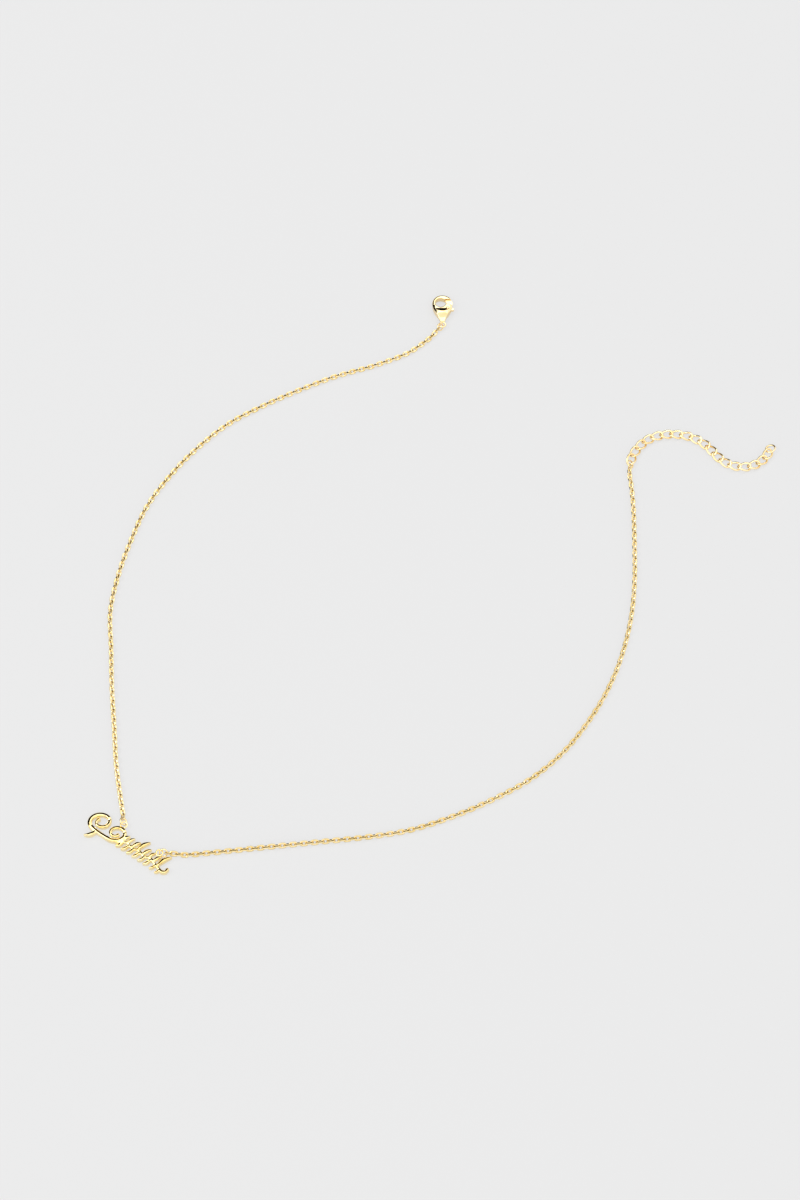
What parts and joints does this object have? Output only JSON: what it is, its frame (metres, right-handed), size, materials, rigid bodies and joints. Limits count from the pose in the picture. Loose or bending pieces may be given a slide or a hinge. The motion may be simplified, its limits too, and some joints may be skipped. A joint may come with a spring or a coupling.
{
  "type": "flourish pendant necklace",
  "caption": "Fine necklace with a small pierced flourish pendant between two cable chain halves, closed by a lobster clasp that hooks onto a twisted curb extender.",
  "frame": {"origin": "on the pendant's back face, in the middle of the flourish's base line", "axes": "+X along the base line towards the pendant's right end, +Y in the plane of the surface towards the chain ends, +Z out of the pendant's front face"},
  "size_m": [0.1317, 0.1949, 0.0023],
  "materials": {
    "pendant": "polished pale gold",
    "chain": "polished gold",
    "clasp": "polished pale gold",
    "extender": "polished gold"
  },
  "bodies": {
    "necklace": {"pendant": "pendant", "pendant_ring_left": "chain", "pendant_ring_right": "chain", "chain_left": "chain", "chain_right": "chain", "clasp_ring": "chain", "clasp_body": "clasp", "clasp_rivet": "clasp", "extender_ring": "extender", "extender_link_01": "extender", "extender_link_02": "extender", "extender_link_03": "extender", "extender_link_04": "extender", "extender_link_05": "extender", "extender_link_06": "extender", "extender_link_07": "extender", "extender_link_08": "extender", "extender_link_09": "extender", "extender_link_10": "extender", "extender_link_11": "extender", "extender_link_12": "extender", "extender_link_13": "extender", "extender_link_14": "extender", "extender_link_15": "extender", "extender_link_16": "extender", "extender_link_17": "extender", "extender_link_18": "extender", "extender_end_ring": "extender"},
    "lever": {"clasp_lever": "clasp"}
  },
  "joints": [
    {"name": "lever_pivot", "type": "hinge", "parent": "necklace", "child": "lever", "pos_m": [-0.02767, 0.1795, 0.00115], "axis": [0, 0, 1], "range_deg": [0, 28], "stiffness_Nm_per_rad": 0.003, "springref_deg": -28.65}
  ]
}
